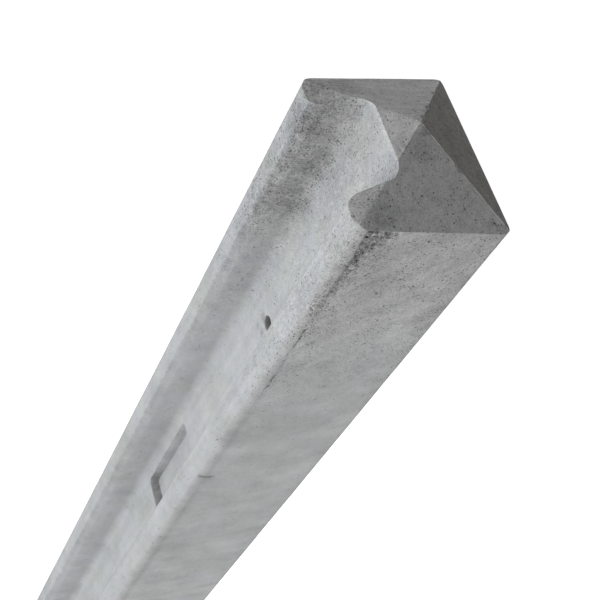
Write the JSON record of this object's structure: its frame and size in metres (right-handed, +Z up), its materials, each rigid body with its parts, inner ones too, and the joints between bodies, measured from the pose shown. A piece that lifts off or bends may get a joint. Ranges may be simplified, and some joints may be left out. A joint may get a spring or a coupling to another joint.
{
  "type": "concrete fence post",
  "caption": "Cast concrete end post for a fence: a full-length slot holds a panel's edge, with plain sides and back, a pointed weathered head, a bolt hole and a bare recess.",
  "frame": {"origin": "middle of the foot, at the centre of the section's box", "axes": "+Z up the post to the point of its head, +X from the slotted face through to the plain back, +Y across the slot"},
  "size_m": [0.095, 0.1124, 2.44],
  "materials": {
    "concrete": "grey cast concrete, matt, with fine sand grain, small air pits and pale streaks"
  },
  "bodies": {
    "root": {"concrete_post": "concrete"}
  },
  "joints": []
}
